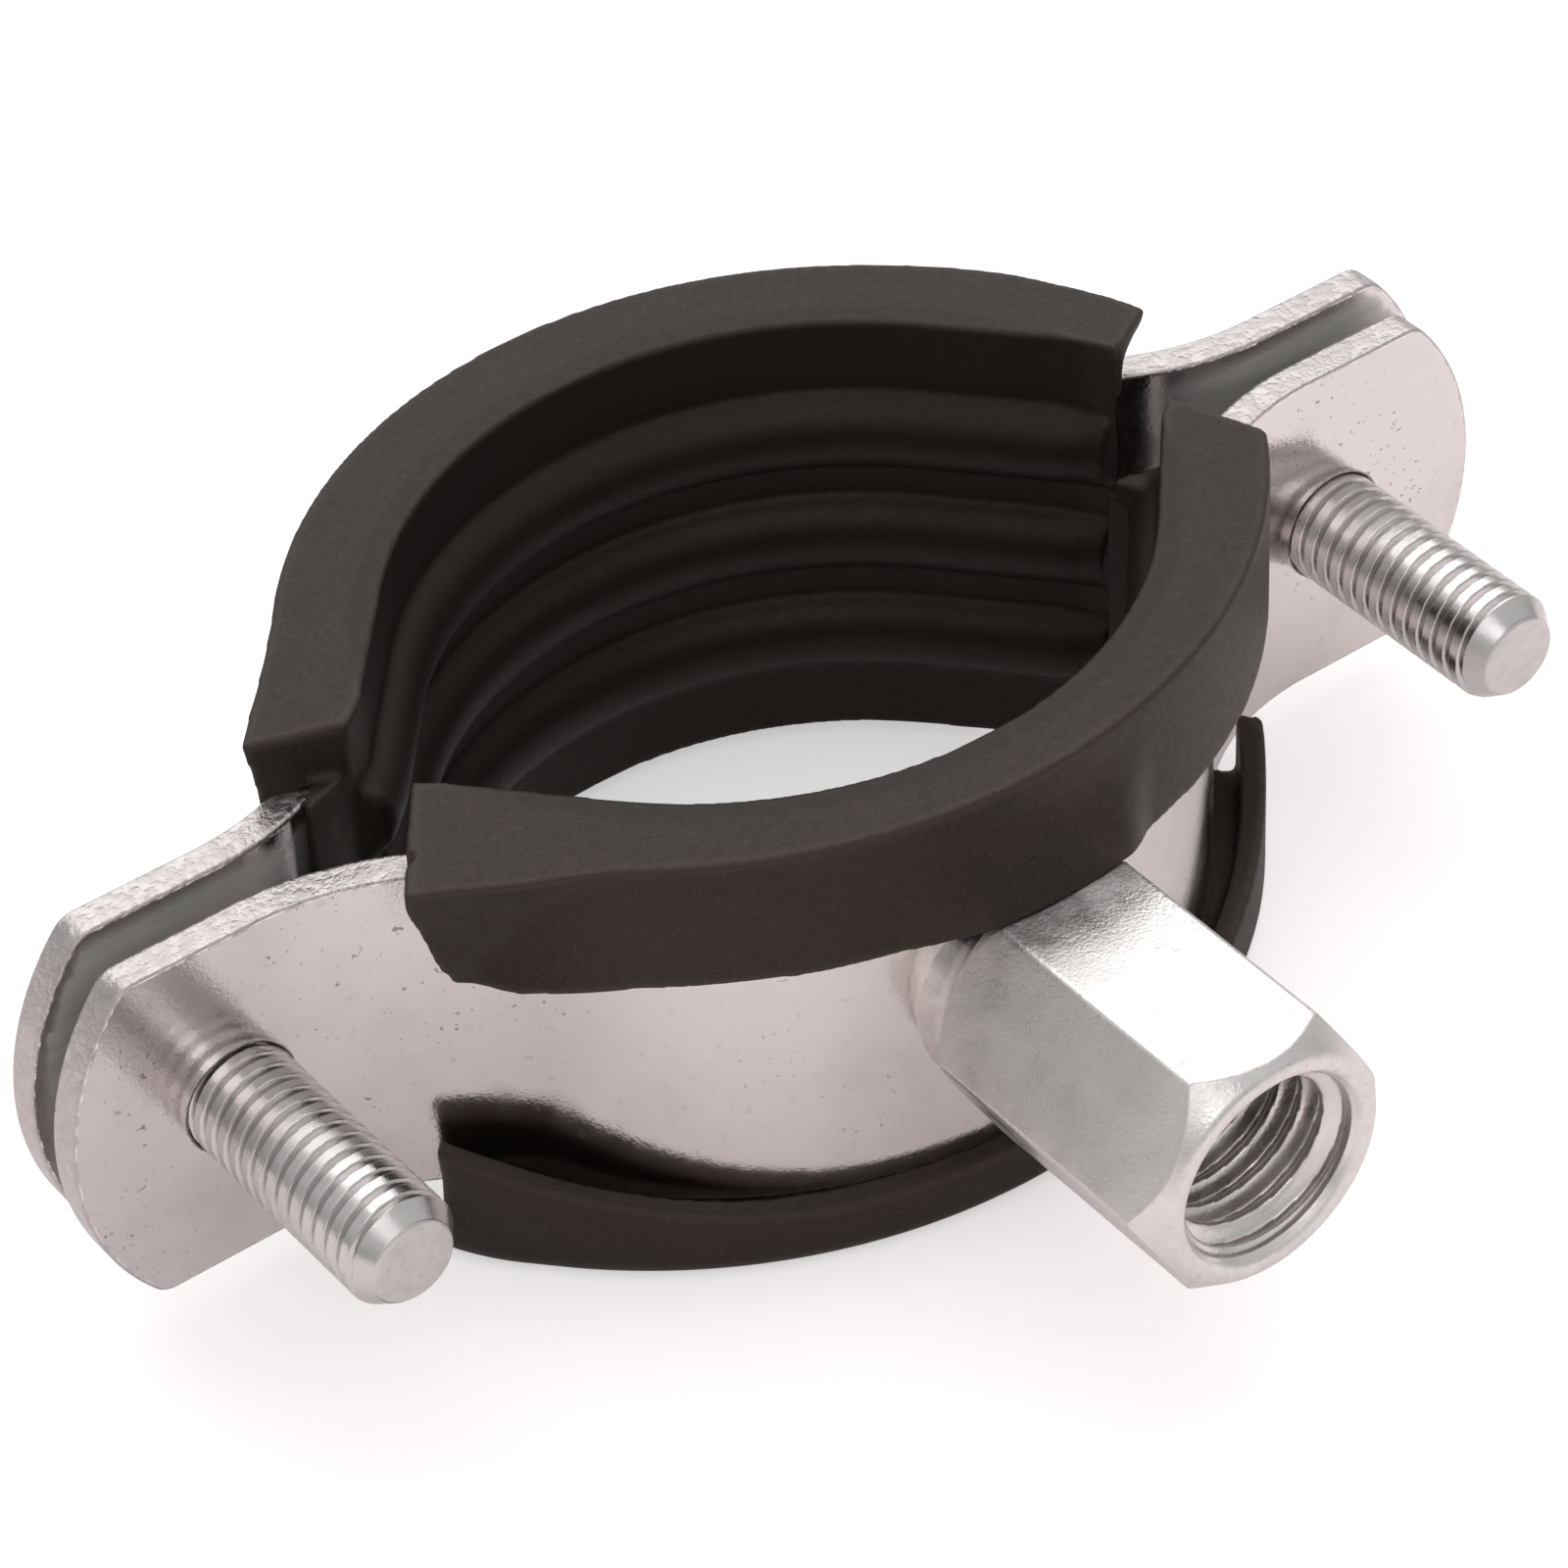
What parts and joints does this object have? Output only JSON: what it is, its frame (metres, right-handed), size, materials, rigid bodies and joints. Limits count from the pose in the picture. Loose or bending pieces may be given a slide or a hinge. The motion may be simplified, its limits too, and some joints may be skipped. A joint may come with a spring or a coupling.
{
  "type": "rubber lined pipe clamp",
  "caption": "Split pipe clamp: a pair of zinc-plated strip halves with ribbed rubber linings, drawn together by screws through the ears, with a welded hexagon nut for hanging rod.",
  "frame": {"origin": "middle of the opening for the pipe, midway between the ears of the halves and at half the height of the front half", "axes": "+Z along the pipe, +X along the ears, -Y the way the welded nut and the screw tips point"},
  "size_m": [0.0856, 0.0588, 0.0272],
  "materials": {
    "zinc_plate": "bright zinc plating on pressed steel strip, lightly scratched and speckled",
    "zinc_nut": "bright zinc plating on machined steel, grainy near its foot",
    "zinc_screw": "bright zinc plating on rolled threads",
    "rubber_lining": "matt brownish black moulded rubber"
  },
  "bodies": {
    "front_half": {"band_front": "zinc_plate", "boss_nut": "zinc_nut", "lining_front": "rubber_lining"},
    "rear_half": {"band_rear": "zinc_plate", "lining_rear": "rubber_lining"},
    "left_screw": {"screw_left": "zinc_screw"},
    "right_screw": {"screw_right": "zinc_screw"}
  },
  "joints": [
    {"name": "rear_slide", "type": "slide", "parent": "front_half", "child": "rear_half", "axis": [0, 1, 0], "range_m": [-0.0014, 0.013]},
    {"name": "left_screw_turn", "type": "hinge", "parent": "rear_half", "child": "left_screw", "pos_m": [-0.0336, 0, -0.0003], "axis": [0, 1, 0], "range_deg": [-504, 4680]},
    {"name": "right_screw_turn", "type": "hinge", "parent": "rear_half", "child": "right_screw", "pos_m": [0.0336, 0, -0.0003], "axis": [0, 1, 0], "range_deg": [-504, 4680]}
  ],
  "couplings": [
    {"joint": "left_screw_turn", "follows": "rear_slide", "rad_per_m": 6283.2},
    {"joint": "right_screw_turn", "follows": "rear_slide", "rad_per_m": 6283.2}
  ]
}
